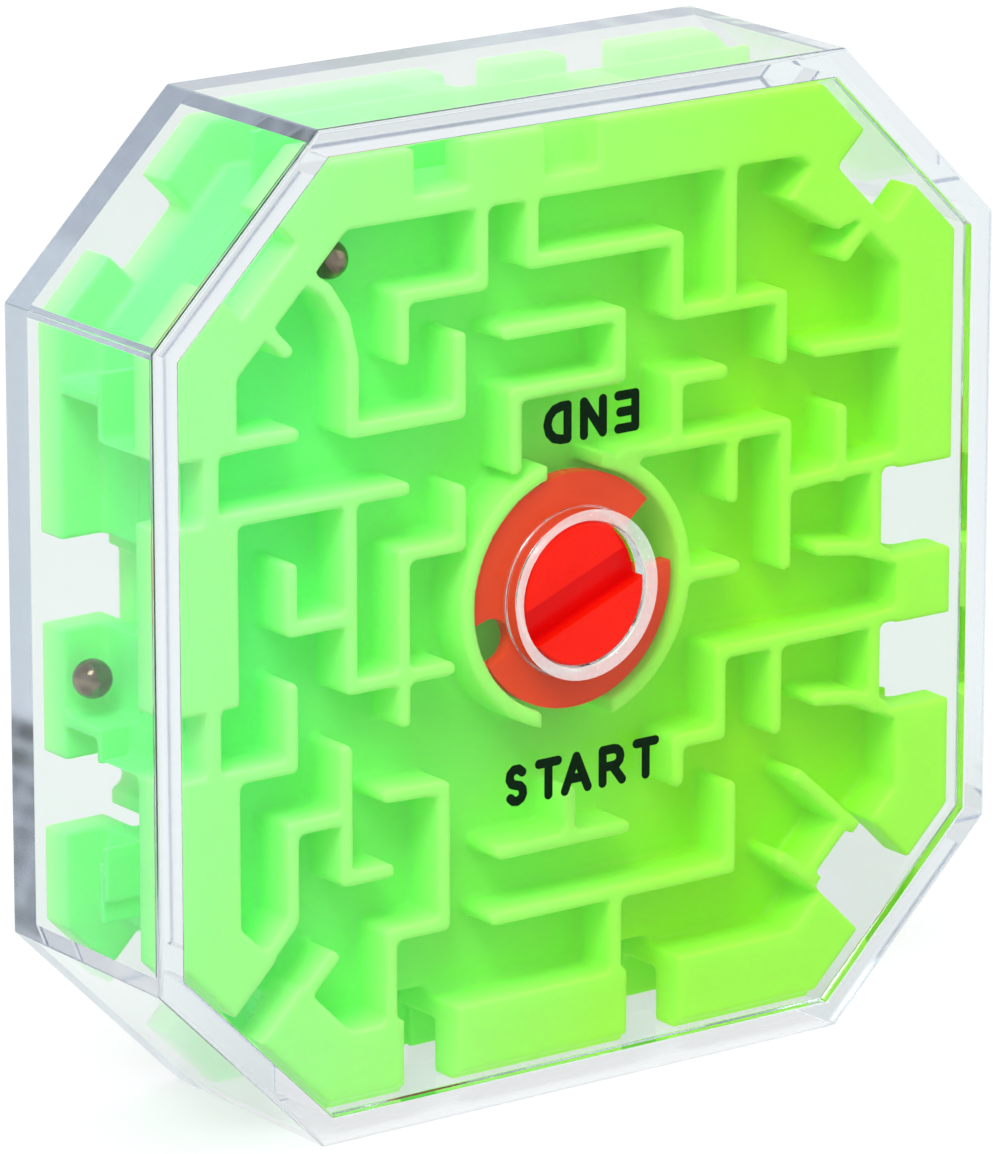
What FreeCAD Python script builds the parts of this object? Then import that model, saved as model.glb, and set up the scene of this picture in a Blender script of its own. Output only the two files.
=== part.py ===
import FreeCAD, Part
import math
import os
from FreeCAD import Vector

# A two-sided ball maze: two moulded maze halves stand back to back in a clear octagonal
# case, a red selector in the middle of the front half is turned by its slotted knob, and
# steel balls roll in the front lanes and in the groove round the edge.
#
# Every shape is first drawn about the middle of the octagonal face: x to the right,
# y into the toy (the front looks along -Y), z up. The last step lifts it to stand on z = 0.

# ---- driving dimensions, mm ----------------------------------------------------------
FACE = 90.0               # across the flats of the face
CORNER_LEG = 16.9         # leg of each cut corner
DEPTH = 23.0
EDGE_ROUND = 0.4          # rounding of the outer edges of the case and of the knob
CASE_WALL = 2.4
PLATE = 2.3               # front cover, and the back of the case
COVER_CLEARANCE = 0.05
CORE_GAP = 0.9            # air between the maze and the case walls
FOOT_LENGTH = 53.0        # strip under each lip, on which the maze stands in the case
FOOT_SETBACK = 0.8        # behind the tops of the walls

LANE = 5.9                # pitch of the maze lanes
LANES_X = -0.7            # the lanes are laid out a little off the middle of the face
LANES_Z = 0.3
WALL = 1.3                # thickness of a maze wall
LANE_DEPTH = 4.8
RIM_INSET = 9.4           # from the case's flats to the inside of the maze rim
GROOVE_INSET = 7.5        # from the case's flats to the floor of the edge groove
LIP = 3.65                # depth of the lips beside the edge groove
RIB = 1.2                 # rib between the front and rear edge lanes
NOTCH = 8.0               # width of the wide openings in the rim
SLOT = 5.6                # width of the narrow ones

COLLAR_INNER = 11.0
COLLAR_OUTER = 12.4
FLANGE_RADIUS = 10.6
FLANGE_SINK = 0.8         # flange face below the tops of the walls
FLANGE_THICKNESS = 1.4
KNOB_RADIUS = 6.45
KNOB_SINK = 0.3           # knob face below the cover's outer face
KNOB_CLEARANCE = 0.1      # radial, in the cover's hole
RING_WIDTH = 1.1          # dished matt ring round the knob's hole
RING_DISH = 0.25          # how far its inner edge lies below the cover's face
BOSS_RADIUS = 7.6
HUB_RADIUS = 4.0
PIVOT_RADIUS = 3.0
RUNNING_FIT = 0.05        # radial and axial clearance of the selector
PIVOT_LENGTH = 7.0
PIVOT_END_GAP = 0.3
PIVOT_BOSS_WALL = 2.5
SMALL_POCKET_WIDTH = 4.2  # ball pockets in the flange; angles from +x towards +z
SMALL_POCKET_CENTRE = 9.5
SMALL_POCKET_ANGLE = 200.0
LARGE_POCKET_FROM = 5.5
LARGE_POCKET_TO = 41.0
DRIVER_SLOT_WIDTH = 3.6
DRIVER_SLOT_DEPTH = 1.7
DRIVER_SLOT_ANGLE = 22.0
POINTER_INNER = 5.4       # flat on the knob's rim beside the slot, to tell its two ends apart
POINTER_FROM = 32.0
POINTER_TO = 66.0

BALL_RADIUS = 1.75
BALL_CLEARANCE = 0.1

LETTER_HEIGHT = 3.8
STROKE = 0.85
INK = 0.05

OVERLAP = 1.0             # how far shapes reach into each other where they join or cut

# ---- levels along the depth ----------------------------------------------------------
FRONT = -DEPTH / 2
BACK = DEPTH / 2
WALL_TOP = FRONT + PLATE
LANE_FLOOR = WALL_TOP + LANE_DEPTH
GROOVE_FRONT = WALL_TOP + LIP
MIDDLE = 0.0
FLANGE_FACE = WALL_TOP + FLANGE_SINK
FLANGE_BACK = FLANGE_FACE + FLANGE_THICKNESS
CORE_INSET = CASE_WALL + CORE_GAP

ALONG_DEPTH = Vector(0, 1, 0)
CENTRE = Vector(0, 0, 0)


# ---- small helpers -------------------------------------------------------------------
def prism(outline, y_front, y_back):
    """Upright prism of an x-z outline."""
    points = [Vector(x, y_front, z) for x, z in outline]
    face = Part.Face(Part.makePolygon(points + points[:1]))
    return face.extrude(Vector(0, y_back - y_front, 0))


def octagon(inset, y_front, y_back):
    """Prism of the face's outline, drawn in by inset on all eight sides."""
    half = FACE / 2 - inset
    edge = half - CORNER_LEG + inset * (2 - math.sqrt(2))
    outline = [(edge, -half), (half, -edge), (half, edge), (edge, half),
               (-edge, half), (-half, edge), (-half, -edge), (-edge, -half)]
    return prism(outline, y_front, y_back)


def disc(radius, y_front, y_back, x=0.0, z=0.0):
    """Cylinder whose axis runs along the depth."""
    return Part.makeCylinder(radius, y_back - y_front, Vector(x, y_front, z), ALONG_DEPTH)


def box(x_min, x_max, y_front, y_back, z_min, z_max):
    corner = Vector(x_min, y_front, z_min)
    return Part.makeBox(x_max - x_min, y_back - y_front, z_max - z_min, corner)


def polar(radius, angle):
    """Point at a radius and an angle from +x towards +z."""
    return (radius * math.cos(math.radians(angle)), radius * math.sin(math.radians(angle)))


def turned(shape, angle):
    """Turn a shape about the depth axis, from +x towards +z."""
    shape.rotate(CENTRE, ALONG_DEPTH, -angle)
    return shape


def joined(shapes):
    first, *others = shapes
    return first.multiFuse(others).removeSplitter()


def bar(start, end, width, y_front, y_back):
    """Straight bar between two x-z points, square at both ends."""
    length = math.dist(start, end)
    shape = box(0, length, y_front, y_back, -width / 2, width / 2)
    turned(shape, math.degrees(math.atan2(end[1] - start[1], end[0] - start[0])))
    shape.translate(Vector(start[0], 0, start[1]))
    return shape


def run(points, width, y_front, y_back):
    """Bars along a line of points, with a round post at every point."""
    pieces = [bar(a, b, width, y_front, y_back) for a, b in zip(points, points[1:])]
    pieces += [disc(width / 2, y_front, y_back, x, z) for x, z in points]
    return pieces


# ---- the maze ------------------------------------------------------------------------
RIM = 6.15                # where a wall runs into the rim, in lane pitches

# Walls of one half as seen from its own side, in lane pitches.
MAZE_WALLS = [
    # upper left
    [(-4.8, 5.45), (-4.35, 5.15), (-4.05, 4.7), (-3.9, 4.1), (-3.9, 3.0), (-2.0, 3.0), (-2.0, 4.1)],
    [(-3.0, 3.95), (-3.0, 4.85), (-1.6, 4.85), (-1.6, RIM)],
    [(-5.65, 4.95), (-5.05, 4.35)],
    [(-RIM, 3.1), (-4.95, 3.1)],
    [(-RIM, 2.0), (-3.0, 2.0)],
    [(-3.95, 2.0), (-3.95, -0.85), (-2.2, -0.85)],
    [(-5.0, 1.1), (-5.0, 0.2), (-3.95, 0.2)],
    [(-3.0, -1.5), (-3.0, 1.0), (-2.0, 1.0), (-2.0, 1.8)],
    [(-1.0, 2.0), (-1.0, 3.1), (0.9, 3.1), (0.9, 4.05), (-1.15, 4.05)],
    # upper right
    [(-0.7, RIM), (-0.7, 5.05), (1.95, 5.05), (1.95, 3.9), (3.9, 3.9), (3.9, 2.95)],
    [(2.95, RIM), (2.95, 3.9)],
    [(2.8, 2.9), (1.95, 2.9), (1.95, 1.9)],
    [(1.0, 1.9), (4.0, 1.9), (4.0, -0.25)],
    [(3.0, 1.9), (3.0, 0.95)],
    [(5.05, 1.95), (5.05, 0.95)],
    [(4.0, 0.95), (RIM, 1.05)],
    [(4.6, 2.95), (RIM, 2.9)],
    [(5.75, 1.0), (5.75, -0.35)],
    [(5.1, 4.35), (5.6, 4.85)],
    # lower left
    [(-RIM, -1.85), (-5.0, -1.85), (-5.0, -0.7)],
    [(-4.05, -1.8), (-4.05, -3.75), (-3.3, -3.75)],
    [(-4.05, -2.8), (-5.0, -2.8), (-5.0, -4.2), (-5.5, -4.75)],
    [(-3.3, -2.6), (-2.3, -2.65), (-2.3, -4.75), (-3.25, -4.75), (-3.25, -RIM)],
    [(-4.3, -4.9), (-5.1, -5.7)],
    # lower right
    [(2.05, -0.15), (3.05, -0.15)],
    [(4.7, -0.15), (5.4, -0.25), (RIM, -0.5)],
    [(2.8, -1.45), (5.2, -1.45), (RIM, -1.4)],
    [(2.8, -1.45), (2.8, -2.7), (2.0, -2.7), (2.0, -3.3)],
    [(3.85, -1.45), (3.85, -2.8)],
    [(4.65, -2.5), (5.4, -2.6), (RIM, -2.95)],
    [(5.75, -1.45), (5.75, -2.8)],
    [(-1.25, -3.85), (1.0, -3.85)],
    [(0.0, -3.15), (0.0, -3.85)],
    [(-1.35, -4.85), (3.0, -4.85), (3.0, -3.6)],
    [(0.85, -4.85), (0.85, -RIM)],
    [(4.3, -3.65), (5.5, -4.75)],
    [(4.0, -4.9), (4.8, -5.5)],
    [(4.5, -5.25), (5.15, -4.6)],
]

# Solid pads as high as the walls, in lane pitches: they steer a ball into the corners.
CORNER_PADS = [
    [(4.0, 5.35), (4.45, 5.8), (5.6, 4.95), (4.95, 4.75)],
]

FLAT = FACE / 2 - CORE_INSET
FLAT_GROOVE = FACE / 2 - GROOVE_INSET
FLAT_RIM = FACE / 2 - RIM_INSET
INTO_FIELD = 0.8          # how far an opening cuts past the inside of the rim
SCREEN = 1.5              # thickness left standing outside the edge groove's floor
THROUGH = -WALL_TOP       # depth of an opening that goes through a whole half


def corner_distance(inset):
    """Distance from the middle to a cut corner's face drawn in by inset."""
    return (FACE - CORNER_LEG) / math.sqrt(2) - inset


CORNER_GROOVE = corner_distance(GROOVE_INSET)
CORNER_RIM = corner_distance(RIM_INSET)

# Openings of the rim: direction they face (degrees from +x towards +z), place along the
# edge (anticlockwise), width, distance of the inner end from the middle, and depth.
CORNER_OPENINGS = [
    (45, 0.0, NOTCH, CORNER_GROOVE, THROUGH),
    (135, 0.0, NOTCH, CORNER_GROOVE + SCREEN, THROUGH),
    (225, -1.1, 3.8, CORNER_RIM - INTO_FIELD, THROUGH),
    (315, 0.3, NOTCH, CORNER_RIM - INTO_FIELD, THROUGH),
]
FRONT_OPENINGS = CORNER_OPENINGS + [
    (0, 1.55, NOTCH, FLAT_RIM - INTO_FIELD, THROUGH),
    (0, -12.8, NOTCH, FLAT_RIM - INTO_FIELD, THROUGH),
    (90, 14.5, SLOT, FLAT_GROOVE, THROUGH),
    (90, 0.7, SLOT, FLAT_GROOVE, LIP / 2),
    (180, -15.0, SLOT, FLAT_GROOVE + SCREEN, THROUGH),
    (180, 7.2, SLOT, FLAT_GROOVE + SCREEN, THROUGH),
    (270, -15.8, SLOT, FLAT_RIM - INTO_FIELD, THROUGH),
    (270, 8.4, SLOT, FLAT_RIM - INTO_FIELD, THROUGH),
]
REAR_OPENINGS = CORNER_OPENINGS + [
    (0, 4.1, NOTCH, FLAT_RIM - INTO_FIELD, THROUGH),
    (0, -14.9, 6.6, FLAT_RIM - INTO_FIELD, THROUGH),
    (90, 0.0, SLOT, FLAT_GROOVE, THROUGH),
    (90, 13.5, 6.2, FLAT_GROOVE, THROUGH),
    (180, -15.0, SLOT, FLAT_GROOVE + SCREEN, THROUGH),
    (180, 7.2, SLOT, FLAT_GROOVE + SCREEN, THROUGH),
    (270, -15.8, SLOT, FLAT_RIM - INTO_FIELD, THROUGH),
    (270, 8.4, SLOT, FLAT_RIM - INTO_FIELD, THROUGH),
]

# Lanes that run on into the rim, as far as the edge groove's floor (x, middle z).
RIM_BAYS = [(-FLAT_GROOVE, 15.0), (-FLAT_GROOVE, -7.2)]

# Blocks across the edge groove (direction, from, to along the edge) and stretches of the
# rib that parts the front edge lane from the rear one.
GROOVE_BLOCKS = [
    (0, -8.6, -7.4),
    (0, 21.0, 22.2),
    (90, -9.0, -5.0),
    (180, -18.1, -16.9),
    (180, 7.0, 10.4),
    (270, 18.0, 21.0),
]
RIB_STRETCHES = [
    (0, -25.0, -19.5),
    (0, -10.5, -7.4),
    (90, -26.0, 6.0),
    (180, -24.0, -16.9),
    (180, 18.0, 23.0),
    (270, -12.0, 18.0),
]

COLLAR_GAPS = [(90, -2.6, 3.2), (270, -3.8, 3.8)]


def edge_box(direction, start, end, inner, outer, y_front, y_back):
    """Box out towards one side; start and end run anticlockwise along that side."""
    return turned(box(inner, outer, y_front, y_back, start, end), direction)


def on_face(points):
    """Lane pitches to millimetres from the middle of the face."""
    return [(x * LANE + LANES_X, z * LANE + LANES_Z) for x, z in points]


def collar():
    ring = disc(COLLAR_OUTER, WALL_TOP, LANE_FLOOR).cut(disc(COLLAR_INNER, WALL_TOP, LANE_FLOOR))
    gaps = [edge_box(direction, start, end, 0, COLLAR_OUTER + OVERLAP, WALL_TOP, LANE_FLOOR)
            for direction, start, end in COLLAR_GAPS]
    return ring.cut(gaps)


def maze_half(rim_openings):
    """One half of the maze, its face towards -Y and its back on the middle plane."""
    plate = octagon(CORE_INSET, WALL_TOP, MIDDLE)
    field = octagon(RIM_INSET, WALL_TOP, LANE_FLOOR)
    groove = octagon(0, GROOVE_FRONT, MIDDLE).cut(octagon(GROOVE_INSET, GROOVE_FRONT, MIDDLE))
    bays = [box(x, -FLAT_RIM + OVERLAP, WALL_TOP, LANE_FLOOR, z - SLOT / 2, z + SLOT / 2)
            for x, z in RIM_BAYS]
    half = plate.cut([field, groove] + bays)

    additions = [collar()]
    for wall in MAZE_WALLS:
        additions += run(on_face(wall), WALL, WALL_TOP, LANE_FLOOR)
    for pad in CORNER_PADS:
        additions.append(prism(on_face(pad), WALL_TOP, LANE_FLOOR))
    root = FLAT_GROOVE - OVERLAP
    for direction, start, end in GROOVE_BLOCKS:
        additions.append(edge_box(direction, start, end, root, FLAT, GROOVE_FRONT, MIDDLE))
    for direction, start, end in RIB_STRETCHES:
        additions.append(edge_box(direction, start, end, root, FLAT, MIDDLE - RIB / 2, MIDDLE))
    additions.append(edge_box(270, -FOOT_LENGTH / 2, FOOT_LENGTH / 2, root,
                              FLAT + CORE_GAP - COVER_CLEARANCE, WALL_TOP + FOOT_SETBACK, GROOVE_FRONT))
    half = joined([half] + additions)

    seat = disc(COLLAR_INNER, WALL_TOP, LANE_FLOOR)
    openings = [edge_box(direction, place - width / 2, place + width / 2, inner, inner + FACE / 2,
                         WALL_TOP, WALL_TOP + depth)
                for direction, place, width, inner, depth in rim_openings]
    return half.cut(openings + [seat]).removeSplitter()


# ---- pieces --------------------------------------------------------------------------
def rear_case():
    """Octagonal tray, its outer edges rounded."""
    outside = octagon(0, FRONT, BACK)
    outside = outside.makeFillet(EDGE_ROUND, outside.Edges)
    return outside.cut(octagon(CASE_WALL, FRONT, BACK - PLATE))


def front_cover():
    """Plate set flush into the tray's mouth; a boss behind the knob's hole holds the selector in."""
    plate = octagon(CASE_WALL + COVER_CLEARANCE, FRONT, WALL_TOP)
    boss = disc(BOSS_RADIUS, WALL_TOP, FLANGE_FACE - RUNNING_FIT)
    hole_radius = KNOB_RADIUS + KNOB_CLEARANCE
    hole = disc(hole_radius, FRONT, FLANGE_FACE)
    ring = Part.makeCone(hole_radius + RING_WIDTH, hole_radius, RING_DISH,
                         Vector(0, FRONT, 0), ALONG_DEPTH)
    return plate.fuse(boss).cut([hole, ring]).removeSplitter()


def front_maze():
    """Maze half that carries the selector in its round seat."""
    return maze_half(FRONT_OPENINGS).cut(disc(PIVOT_RADIUS + RUNNING_FIT, LANE_FLOOR, MIDDLE))


def rear_maze():
    """A like moulding turned round, with a boss that takes the selector's pivot."""
    half = maze_half(REAR_OPENINGS).fuse(disc(PIVOT_RADIUS + PIVOT_BOSS_WALL, WALL_TOP, LANE_FLOOR))
    half.rotate(CENTRE, Vector(0, 0, 1), 180)
    bore = disc(PIVOT_RADIUS + RUNNING_FIT, MIDDLE, LANE_FLOOR + PIVOT_LENGTH + PIVOT_END_GAP)
    return half.cut(bore).removeSplitter()


def knob(front, back):
    """Round knob, the edge of its face rounded."""
    body = disc(KNOB_RADIUS, front, back)
    face_edges = [edge for edge in body.Edges if math.isclose(edge.CenterOfMass.y, front)]
    return body.makeFillet(EDGE_ROUND, face_edges)


def rotor():
    """Selector in one piece: slotted knob, thin flange with two ball pockets, hub and pivot."""
    seat = LANE_FLOOR - RUNNING_FIT
    knob_face = FRONT + KNOB_SINK
    slot_floor = knob_face + DRIVER_SLOT_DEPTH
    body = joined([disc(FLANGE_RADIUS, FLANGE_FACE, FLANGE_BACK), knob(knob_face, FLANGE_BACK),
                   disc(HUB_RADIUS, FLANGE_FACE, seat),
                   disc(PIVOT_RADIUS, FLANGE_FACE, seat + PIVOT_LENGTH)])

    reach = FLANGE_RADIUS * 1.5
    outwards = [(SMALL_POCKET_CENTRE, 0), (reach, 0)]
    small_pocket = joined(run(outwards, SMALL_POCKET_WIDTH, FLANGE_FACE, FLANGE_BACK))
    turned(small_pocket, SMALL_POCKET_ANGLE)
    wedge = [(0, 0), polar(reach, LARGE_POCKET_FROM), polar(reach, LARGE_POCKET_TO)]
    large_pocket = prism(wedge, FLANGE_FACE, FLANGE_BACK).cut(disc(KNOB_RADIUS, FLANGE_FACE, FLANGE_BACK))
    slot = box(-reach, reach, knob_face, slot_floor, -DRIVER_SLOT_WIDTH / 2, DRIVER_SLOT_WIDTH / 2)
    turned(slot, DRIVER_SLOT_ANGLE)
    flat = [polar(POINTER_INNER, POINTER_FROM), polar(reach, POINTER_FROM), polar(reach, POINTER_TO),
            polar(KNOB_RADIUS, POINTER_TO)]
    pointer = prism(flat, knob_face, slot_floor)
    return body.cut([small_pocket, large_pocket, slot, pointer]).removeSplitter()


def ball(x, y, z):
    return Part.makeSphere(BALL_RADIUS, Vector(x, y, z))


# ---- printed words, one solid to a letter --------------------------------------------
def arc_points(x, z, radius, start, end, steps=6):
    angles = [math.radians(start + (end - start) * i / steps) for i in range(steps + 1)]
    return [(x + radius * math.cos(a), z + radius * math.sin(a)) for a in angles]


def letter_strokes(letter):
    """Centre lines of a letter that is 1 high and stands on z = 0."""
    top, mid, wide = 1.0, 0.5, 0.69
    bowl = top / 4
    strokes = {
        "S": [arc_points(0.29, 0.75, bowl, 30, 270) + arc_points(0.29, 0.25, bowl, 60, -150)],
        "T": [[(0, top), (wide, top)], [(wide / 2, 0), (wide / 2, top)]],
        "A": [[(0, 0), (0.42, top), (0.84, 0)], [(0.16, 0.34), (0.68, 0.34)]],
        "R": [[(0, 0), (0, top)] + arc_points(0.4, 0.74, 0.26, 90, -90) + [(0, 0.48)],
              [(0.36, 0.48), (0.72, 0)]],
        "E": [[(0.62, top), (0, top), (0, 0), (0.62, 0)], [(0, mid), (0.55, mid)]],
        "N": [[(0, 0), (0, top), (wide, 0), (wide, top)]],
        "D": [[(0, 0), (0, top)] + arc_points(0.23, mid, mid, 90, -90) + [(0, 0)]],
    }
    return strokes[letter]


def word(letters, places, middle_z, upside_down=False):
    """Printed word on the cover; places are the left strokes of its letters."""
    rise = LETTER_HEIGHT - STROKE
    solids = []
    for letter, left in zip(letters, places):
        pieces = []
        for line in letter_strokes(letter):
            points = [(left + x * rise, z * rise - rise / 2) for x, z in line]
            pieces += run(points, STROKE, FRONT - INK, FRONT)
        solids.append(joined(pieces))
    shape = Part.makeCompound(solids)
    if upside_down:
        turned(shape, 180)
    shape.translate(Vector(0, 0, middle_z))
    return shape


# ---- balls' resting places -----------------------------------------------------------
FRONT_BALL = (-24.3, LANE_FLOOR - BALL_RADIUS - BALL_CLEARANCE, 32.6)
SIDE_BALL = (-40.3, 3.3, -3.9)

PIECES = {
    "rear_case": rear_case,
    "front_cover": front_cover,
    "front_maze": front_maze,
    "rear_maze": rear_maze,
    "rotor": rotor,
    "front_ball": lambda: ball(*FRONT_BALL),
    "side_ball": lambda: ball(*SIDE_BALL),
    "start_print": lambda: word("START", (-8.5, -5.2, -2.4, 1.7, 5.4), -15.9),
    "end_print": lambda: word("END", (-5.1, -1.6, 2.2), 15.9, upside_down=True),
}

os.makedirs("parts", exist_ok=True)
for name, make in PIECES.items():
    shape = make()
    shape.translate(Vector(0, 0, FACE / 2))
    shape.exportStep(f"parts/{name}.step")
    print(name, len(shape.Solids), "solids", shape.isValid(), round(shape.Volume, 1), "mm3")
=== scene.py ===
import math

import bmesh
import bpy
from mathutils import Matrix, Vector


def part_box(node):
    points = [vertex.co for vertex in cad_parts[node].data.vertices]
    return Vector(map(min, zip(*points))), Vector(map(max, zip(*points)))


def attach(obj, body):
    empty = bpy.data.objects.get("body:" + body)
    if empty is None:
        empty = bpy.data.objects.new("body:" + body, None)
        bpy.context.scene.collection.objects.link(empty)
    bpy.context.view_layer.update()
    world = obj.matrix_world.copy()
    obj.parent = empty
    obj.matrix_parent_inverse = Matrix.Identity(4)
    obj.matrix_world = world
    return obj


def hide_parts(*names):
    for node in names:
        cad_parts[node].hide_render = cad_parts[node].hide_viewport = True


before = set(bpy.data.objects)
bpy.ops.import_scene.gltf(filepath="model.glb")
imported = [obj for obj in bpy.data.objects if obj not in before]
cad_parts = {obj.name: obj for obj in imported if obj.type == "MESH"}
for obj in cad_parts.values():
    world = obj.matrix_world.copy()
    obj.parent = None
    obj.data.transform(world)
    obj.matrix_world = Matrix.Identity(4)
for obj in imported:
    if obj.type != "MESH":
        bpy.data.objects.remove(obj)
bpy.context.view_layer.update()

# ---- measures ------------------------------------------------------------------------
MM = 0.001
CASE_LOW, CASE_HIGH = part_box("rear_case")
FRONT = CASE_LOW.y
FACE_CENTRE = Vector((0.0, 0.0, (CASE_LOW.z + CASE_HIGH.z) / 2))

MAZE_VOXEL = 0.3 * MM          # the maze halves are remeshed this finely, then smoothed
MAZE_SMOOTHING_ROUNDS = 3
MAZE_KEPT_FACES = 0.32         # share of the faces left after thinning out
MAZE_DRAWN_IN = 0.03 * MM      # keeps the softened maze inside the moulded one
COVER_EDGE = 0.2 * MM          # rounding of the sharp edges
SELECTOR_EDGE = 0.25 * MM
RING_REACH = 7.7 * MM          # the matt whitish ring painted as a reflection round the knob's hole ends here, out from the axis
RING_BACK = FRONT + 0.45 * MM  # and here, into the cover
FLAT_NORMAL = 0.99             # share of a normal along the depth from which a face is flat

STYRENE_IOR = 1.55
GREEN_IOR = 1.5
LIGHT_BOUNCES = 48             # light crosses the case's clear walls many times


# ---- node helpers --------------------------------------------------------------------
def new_material(name):
    """Node material with a Principled shader; returns it with its tree and shader."""
    material = bpy.data.materials.new(name)
    material.use_nodes = True
    tree = material.node_tree
    tree.nodes.clear()
    shader = tree.nodes.new("ShaderNodeBsdfPrincipled")
    output = tree.nodes.new("ShaderNodeOutputMaterial")
    tree.links.new(shader.outputs["BSDF"], output.inputs["Surface"])
    return material, tree, shader


def object_coordinates(tree):
    """Point on the piece, in metres: x to the right, y into the toy, z up."""
    return tree.nodes.new("ShaderNodeTexCoord").outputs["Object"]


def noise(tree, scale_mm, detail=3.0):
    """3-D noise, 0 to 1, whose features are about scale_mm across."""
    texture = tree.nodes.new("ShaderNodeTexNoise")
    texture.inputs["Scale"].default_value = 1.0 / (scale_mm * MM)
    texture.inputs["Detail"].default_value = detail
    tree.links.new(object_coordinates(tree), texture.inputs["Vector"])
    return texture.outputs["Fac"]


def xyz(tree):
    """The three object coordinates, apart."""
    parts = tree.nodes.new("ShaderNodeSeparateXYZ")
    tree.links.new(object_coordinates(tree), parts.inputs["Vector"])
    return parts.outputs["X"], parts.outputs["Y"], parts.outputs["Z"]


def ramp(tree, source, stops):
    """Colour ramp over a 0-1 value."""
    node = tree.nodes.new("ShaderNodeValToRGB")
    tree.links.new(source, node.inputs["Fac"])
    elements = node.color_ramp.elements
    for element, (position, colour) in zip(elements, stops):
        element.position = position
        element.color = (*colour, 1.0)
    return node.outputs["Color"]


def ranged(tree, source, low, high):
    """0 to 1 as the source goes from low to high."""
    node = tree.nodes.new("ShaderNodeMapRange")
    node.inputs["From Min"].default_value = low
    node.inputs["From Max"].default_value = high
    tree.links.new(source, node.inputs["Value"])
    return node.outputs["Result"]


def calculated(tree, operation, *values):
    """Math node over sockets and plain numbers."""
    node = tree.nodes.new("ShaderNodeMath")
    node.operation = operation
    for socket, value in zip(node.inputs, values):
        if isinstance(value, float):
            socket.default_value = value
        else:
            tree.links.new(value, socket)
    return node.outputs["Value"]


def mixed_colours(tree, share, first, second):
    """First colour at a share of 0, second at 1."""
    node = tree.nodes.new("ShaderNodeMix")
    node.data_type = "RGBA"
    tree.links.new(share, node.inputs["Factor"])
    colours = [socket for socket in node.inputs if socket.type == "RGBA"]
    tree.links.new(first, colours[0])
    tree.links.new(second, colours[1])
    return next(socket for socket in node.outputs if socket.type == "RGBA")


def bump(tree, shader, source, depth_mm):
    node = tree.nodes.new("ShaderNodeBump")
    node.inputs["Distance"].default_value = depth_mm * MM
    node.inputs["Strength"].default_value = 1.0
    tree.links.new(source, node.inputs["Height"])
    tree.links.new(node.outputs["Normal"], shader.inputs["Normal"])


def roughness_between(tree, shader, source, low, high):
    node = tree.nodes.new("ShaderNodeMapRange")
    node.inputs["To Min"].default_value = low
    node.inputs["To Max"].default_value = high
    tree.links.new(source, node.inputs["Value"])
    tree.links.new(node.outputs["Result"], shader.inputs["Roughness"])


# ---- materials -----------------------------------------------------------------------
def clear_plastic():
    """Polished clear styrene, faintly blue in the thick; the lamps' light passes straight through."""
    material, tree, shader = new_material("clear_styrene")
    shader.inputs["Base Color"].default_value = (0.875, 0.905, 0.89, 1.0)
    shader.inputs["Transmission Weight"].default_value = 1.0
    shader.inputs["IOR"].default_value = STYRENE_IOR
    shader.inputs["Specular Tint"].default_value = (0.1, 0.1, 0.12, 1.0)
    ripple = noise(tree, scale_mm=22.0, detail=1.0)
    roughness_between(tree, shader, ripple, low=0.02, high=0.05)
    bump(tree, shader, ripple, depth_mm=0.02)
    output = tree.nodes["Material Output"]
    rays = tree.nodes.new("ShaderNodeLightPath")
    passing = tree.nodes.new("ShaderNodeBsdfTransparent")
    passing.inputs["Color"].default_value = (0.97, 0.98, 1.0, 1.0)
    mix = tree.nodes.new("ShaderNodeMixShader")
    tree.links.new(rays.outputs["Is Shadow Ray"], mix.inputs["Fac"])
    tree.links.new(shader.outputs["BSDF"], mix.inputs[1])
    tree.links.new(passing.outputs["BSDF"], mix.inputs[2])
    tree.links.new(mix.outputs["Shader"], output.inputs["Surface"])
    absorption = tree.nodes.new("ShaderNodeVolumeAbsorption")
    absorption.inputs["Color"].default_value = (0.11, 0.22, 0.48, 1.0)
    absorption.inputs["Density"].default_value = 5.5
    tree.links.new(absorption.outputs["Volume"], output.inputs["Volume"])
    return material


def matt_ring_painted_reflection():
    """The same styrene, matt and whitish on the dished ring round the knob's hole: a painted reflection of
    the hole's bright edge.
    """
    material, tree, shader = new_material("matt_styrene_painted_reflection")
    grain = noise(tree, scale_mm=0.4, detail=2.0)
    # painted reflection: the whitish colour stands in for the bright edge that the glossy hole shows
    colour = ramp(tree, grain, [(0.3, (0.84, 0.87, 0.87)), (0.7, (0.94, 0.96, 0.95))])
    tree.links.new(colour, shader.inputs["Base Color"])
    shader.inputs["Transmission Weight"].default_value = 0.55
    shader.inputs["IOR"].default_value = STYRENE_IOR
    roughness_between(tree, shader, grain, low=0.2, high=0.3)
    bump(tree, shader, grain, depth_mm=0.01)
    return material


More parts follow.
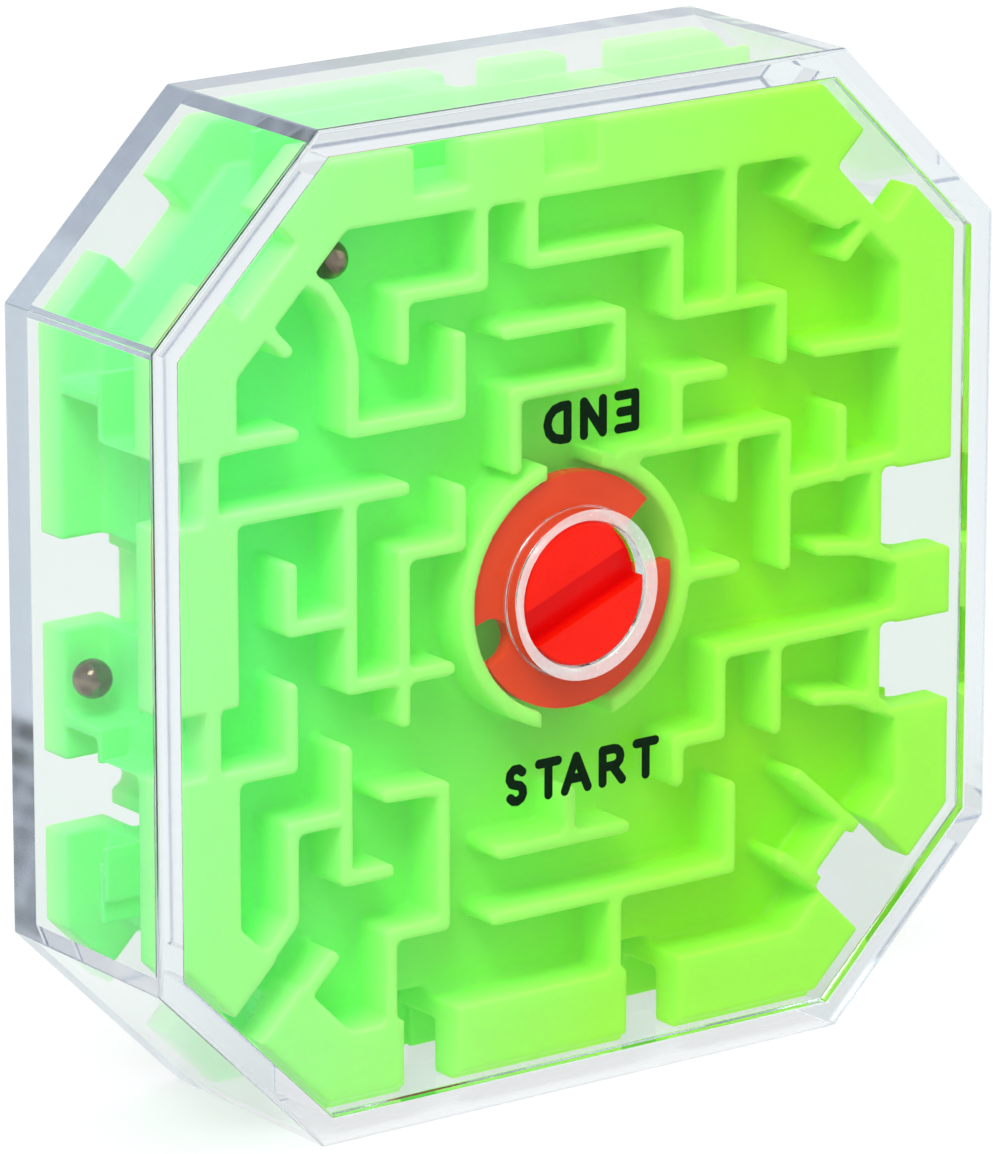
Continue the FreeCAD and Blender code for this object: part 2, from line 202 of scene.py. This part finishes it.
def green_plastic():
    """Fluorescent green moulding with painted light: yellower to the right, low and near, lighter on the wall
    tops than on the lane floors, and a painted glow all over.
    """
    material, tree, shader = new_material("fluorescent_green")
    x, y, z = xyz(tree)
    flow = noise(tree, scale_mm=24.0, detail=2.0)
    # how yellow: three quarters is painted light by place (right, low and near is yellowest), one quarter is
    # random tone from noise
    painted_light_slant = calculated(tree, "MULTIPLY_ADD", z, -0.2, x)
    painted_light_slant = calculated(tree, "MULTIPLY_ADD", y, -1.5, painted_light_slant)
    painted_light_and_tone = ranged(tree, painted_light_slant, low=-37 * MM, high=21 * MM)
    painted_light_and_tone = calculated(tree, "MULTIPLY_ADD", painted_light_and_tone, 0.75, calculated(tree, "MULTIPLY", flow, 0.25))
    # painted light and shade: a lighter colour on the wall tops and a darker one on the lane floors
    lit_tops_share = ranged(tree, calculated(tree, "ABSOLUTE", y), low=4.5 * MM, high=8.5 * MM)
    shaded_floor_colour = ramp(tree, painted_light_and_tone, [(0.1, (0.15, 0.88, 0.22)), (0.85, (0.30, 0.78, 0.0))])
    lit_top_colour = ramp(tree, painted_light_and_tone, [(0.1, (0.37, 0.94, 0.32)), (0.85, (0.37, 0.90, 0.06))])
    colour = mixed_colours(tree, lit_tops_share, shaded_floor_colour, lit_top_colour)
    tree.links.new(colour, shader.inputs["Base Color"])
    # painted glow: the moulding lights itself in its own colour, lifting its shade everywhere
    tree.links.new(colour, shader.inputs["Emission Color"])
    shader.inputs["Emission Strength"].default_value = 0.15
    shader.inputs["Subsurface Weight"].default_value = 0.6
    shader.inputs["Subsurface Radius"].default_value = (0.35, 1.0, 0.12)
    shader.inputs["Subsurface Scale"].default_value = 1.5 * MM
    shader.inputs["IOR"].default_value = GREEN_IOR
    shader.inputs["Specular IOR Level"].default_value = 0.15
    grain = noise(tree, scale_mm=0.6, detail=2.0)
    roughness_between(tree, shader, grain, low=0.3, high=0.45)
    bump(tree, shader, grain, depth_mm=0.01)
    return material


def red_plastic():
    """Glossy red moulding, darker in the driver slot as painted shade, and brighter and more orange on the
    flange under the cover as painted light.
    """
    material, tree, shader = new_material("glossy_red")
    _, y, _ = xyz(tree)
    flow = noise(tree, scale_mm=9.0, detail=2.0)
    # painted light and shade on one moulding: the slot colour is darker as painted shade, the flange colour
    # brighter and more orange as painted light against the cover's shade
    face = ramp(tree, flow, [(0.3, (0.68, 0.006, 0.001)), (0.7, (0.75, 0.01, 0.002))])
    slot = ramp(tree, flow, [(0.3, (0.66, 0.001, 0.001)), (0.7, (0.72, 0.002, 0.002))])
    flange = ramp(tree, flow, [(0.3, (0.84, 0.05, 0.003)), (0.7, (0.92, 0.065, 0.006))])
    slot_shade_share = ranged(tree, y, FRONT + 0.6 * MM, FRONT + 1.6 * MM)
    flange_light_share = ranged(tree, y, FRONT + 2.2 * MM, FRONT + 2.9 * MM)
    colour = mixed_colours(tree, flange_light_share, mixed_colours(tree, slot_shade_share, face, slot), flange)
    tree.links.new(colour, shader.inputs["Base Color"])
    # painted glow: the red lights itself, lifting its shade in the slot and under the cover
    tree.links.new(colour, shader.inputs["Emission Color"])
    shader.inputs["Emission Strength"].default_value = 0.1
    shader.inputs["Specular IOR Level"].default_value = 0.1
    roughness_between(tree, shader, noise(tree, scale_mm=3.0), low=0.22, high=0.34)
    return material


def steel():
    """Steel whose dark brown colour is a painted reflection of dark surroundings, mottled at random."""
    material, tree, shader = new_material("ball_steel")
    painted_reflection_mottle = noise(tree, scale_mm=1.2)
    # painted reflection: dark brown tones stand in for the dark surroundings a steel ball mirrors
    colour = ramp(tree, painted_reflection_mottle, [(0.35, (0.10, 0.07, 0.045)), (0.7, (0.30, 0.235, 0.17))])
    tree.links.new(colour, shader.inputs["Base Color"])
    shader.inputs["Metallic"].default_value = 1.0
    roughness_between(tree, shader, painted_reflection_mottle, low=0.08, high=0.22)
    return material


def ink():
    """Dark printing ink with a trace of green."""
    material, tree, shader = new_material("printed_ink")
    speck = noise(tree, scale_mm=0.5, detail=2.0)
    colour = ramp(tree, speck, [(0.3, (0.0, 0.008, 0.001)), (0.8, (0.001, 0.016, 0.003))])
    tree.links.new(colour, shader.inputs["Base Color"])
    shader.inputs["Specular IOR Level"].default_value = 0.05
    roughness_between(tree, shader, speck, low=0.4, high=0.55)
    return material


CLEAR = clear_plastic()
RING_PAINTED_REFLECTION = matt_ring_painted_reflection()
GREEN = green_plastic()
RED = red_plastic()
STEEL = steel()
INK = ink()


# ---- pieces --------------------------------------------------------------------------
def dress(node, material):
    """Give a carried-over CAD node its material."""
    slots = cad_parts[node].data.materials
    slots.clear()
    slots.append(material)


def copied(mesh, name):
    """New object in the scene with this mesh."""
    piece = bpy.data.objects.new(name, mesh)
    bpy.context.scene.collection.objects.link(piece)
    return piece


def bake(piece, material):
    """Apply the piece's modifiers and give it its material."""
    graph = bpy.context.evaluated_depsgraph_get()
    mesh = bpy.data.meshes.new_from_object(piece.evaluated_get(graph), depsgraph=graph)
    piece.modifiers.clear()
    piece.data = mesh
    mesh.materials.clear()
    mesh.materials.append(material)


def softened(node, name, body, material):
    """Copy of a CAD moulding with rounded edges and corners, shown in its place."""
    piece = copied(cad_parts[node].data.copy(), name)
    remesh = piece.modifiers.new("remesh", "REMESH")
    remesh.mode = "VOXEL"
    remesh.voxel_size = MAZE_VOXEL
    remesh.use_smooth_shade = True
    smooth = piece.modifiers.new("smooth", "SMOOTH")
    smooth.factor = 0.5
    smooth.iterations = MAZE_SMOOTHING_ROUNDS
    thin_out = piece.modifiers.new("thin_out", "DECIMATE")
    thin_out.ratio = MAZE_KEPT_FACES
    even_shading = piece.modifiers.new("even_shading", "WEIGHTED_NORMAL")
    even_shading.weight = 50
    bake(piece, material)
    middle = sum((Vector(c) for c in piece.bound_box), Vector()) / 8
    size = piece.dimensions
    for axis in range(3):
        factor = 1.0 - 2 * MAZE_DRAWN_IN / size[axis]
        for vertex in piece.data.vertices:
            vertex.co[axis] = middle[axis] + (vertex.co[axis] - middle[axis]) * factor
    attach(piece, body)
    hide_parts(node)
    return piece


def edged(node, name, body, material, width):
    """Copy of a CAD piece with its sharp edges rounded over, shown in its place."""
    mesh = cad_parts[node].data.copy()
    shape = bmesh.new()
    shape.from_mesh(mesh)
    bmesh.ops.remove_doubles(shape, verts=shape.verts, dist=0.001 * MM)
    bmesh.ops.dissolve_limit(shape, angle_limit=math.radians(0.5), verts=shape.verts, edges=shape.edges)
    shape.to_mesh(mesh)
    shape.free()
    piece = copied(mesh, name)
    bevel = piece.modifiers.new("bevel", "BEVEL")
    bevel.width = width
    bevel.segments = 3
    bevel.limit_method = "ANGLE"
    bevel.angle_limit = math.radians(40)
    bevel.harden_normals = True
    bake(piece, material)
    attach(piece, body)
    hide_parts(node)
    return piece


def paint_ring_reflection(cover):
    """Give the dished ring round the knob's hole the matt whitish material that paints its reflection, and
    leave the flat cover clear.
    """
    cover.data.materials.append(RING_PAINTED_REFLECTION)
    for face in cover.data.polygons:
        from_axis = math.hypot(face.center.x, face.center.z - FACE_CENTRE.z)
        slopes = abs(face.normal.y) < FLAT_NORMAL
        if from_axis < RING_REACH and face.center.y < RING_BACK and slopes:
            face.material_index = 1


softened("front_maze", "front_maze_moulding", "case", GREEN)
softened("rear_maze", "rear_maze_moulding", "case", GREEN)
dress("rear_case", CLEAR)
paint_ring_reflection(edged("front_cover", "front_cover_moulding", "case", CLEAR, COVER_EDGE))
edged("rotor", "selector_moulding", "selector", RED, SELECTOR_EDGE)
for ball_node in ("front_ball", "side_ball"):
    dress(ball_node, STEEL)
for print_node in ("start_print", "end_print"):
    dress(print_node, INK)


# ---- camera --------------------------------------------------------------------------
CAMERA_AZIMUTH = -36.0
CAMERA_ELEVATION = 15.56
CAMERA_DISTANCE = 0.7331
CAMERA_AIM = Vector((-0.00588, -0.00668, 0.04651))
CAMERA_LENS = 263.2
SENSOR_WIDTH = 36.0


def direction(azimuth, elevation):
    """Unit vector in degrees; azimuth 0 is the front and grows to the right."""
    a, e = math.radians(azimuth), math.radians(elevation)
    return Vector((math.sin(a) * math.cos(e), -math.cos(a) * math.cos(e), math.sin(e)))


def aim(thing, towards_viewer, distance, target):
    """Place a camera or lamp at a distance from the target, looking at it."""
    thing.location = target + towards_viewer * distance
    thing.rotation_mode = "QUATERNION"
    thing.rotation_quaternion = (-towards_viewer).to_track_quat("-Z", "Y")


camera = bpy.data.objects.new("camera", bpy.data.cameras.new("camera"))
bpy.context.scene.collection.objects.link(camera)
aim(camera, direction(CAMERA_AZIMUTH, CAMERA_ELEVATION), CAMERA_DISTANCE, CAMERA_AIM)
camera.data.lens = CAMERA_LENS
camera.data.sensor_width = SENSOR_WIDTH
camera.data.clip_start = 0.01
camera.data.clip_end = 50.0
bpy.context.scene.camera = camera


# ---- stage and light -----------------------------------------------------------------
def floor():
    """White floor that sweeps up behind the object."""
    half_width, front, back, rise, radius = 3.0, -2.5, 1.2, 2.4, 0.8
    sweep_steps = 12
    profile = [(front, 0.0), (back, 0.0)]
    for step in range(1, sweep_steps + 1):
        angle = math.pi / 2 * step / sweep_steps
        profile.append((back + radius * math.sin(angle), radius * (1 - math.cos(angle))))
    profile.append((back + radius, rise))
    vertices = [(side * half_width, y, z) for y, z in profile for side in (-1, 1)]
    faces = [(2 * i, 2 * i + 1, 2 * i + 3, 2 * i + 2) for i in range(len(profile) - 1)]
    mesh = bpy.data.meshes.new("floor")
    mesh.from_pydata(vertices, [], faces)
    mesh.shade_smooth()
    plane = bpy.data.objects.new("floor", mesh)
    bpy.context.scene.collection.objects.link(plane)
    material, tree, shader = new_material("floor_white")
    shader.inputs["Base Color"].default_value = (0.38, 0.38, 0.38, 1.0)
    shader.inputs["Roughness"].default_value = 0.8
    shader.inputs["Emission Color"].default_value = (1.0, 1.0, 1.0, 1.0)
    shader.inputs["Emission Strength"].default_value = 0.58
    mesh.materials.append(material)


def area_light(name, azimuth, elevation, distance, size, power, colour):
    """Soft square light aimed at the object; azimuth and elevation in degrees."""
    lamp = bpy.data.lights.new(name, "AREA")
    lamp.shape = "SQUARE"
    lamp.size = size
    lamp.energy = power
    lamp.color = colour
    holder = bpy.data.objects.new(name, lamp)
    bpy.context.scene.collection.objects.link(holder)
    aim(holder, direction(azimuth, elevation), distance, FACE_CENTRE)


def world_light(strength, colour):
    world = bpy.data.worlds.new("studio")
    world.use_nodes = True
    background = world.node_tree.nodes["Background"]
    background.inputs["Color"].default_value = (*colour, 1.0)
    background.inputs["Strength"].default_value = strength
    bpy.context.scene.world = world


floor()
world_light(strength=0.88, colour=(0.97, 0.985, 1.0))
area_light("key_left", azimuth=-50, elevation=50, distance=1.2, size=0.5, power=7.5, colour=(0.93, 0.97, 1.0))
area_light("fill_right", azimuth=55, elevation=25, distance=1.3, size=1.0, power=2.8, colour=(1.0, 0.98, 0.9))
area_light("top", azimuth=0, elevation=85, distance=1.2, size=1.0, power=2.3, colour=(1.0, 1.0, 1.0))

bpy.context.scene.view_settings.view_transform = "Standard"
bpy.context.scene.view_settings.look = "None"
bpy.context.scene.cycles.max_bounces = LIGHT_BOUNCES
bpy.context.scene.cycles.transmission_bounces = LIGHT_BOUNCES
bpy.context.scene.cycles.glossy_bounces = LIGHT_BOUNCES
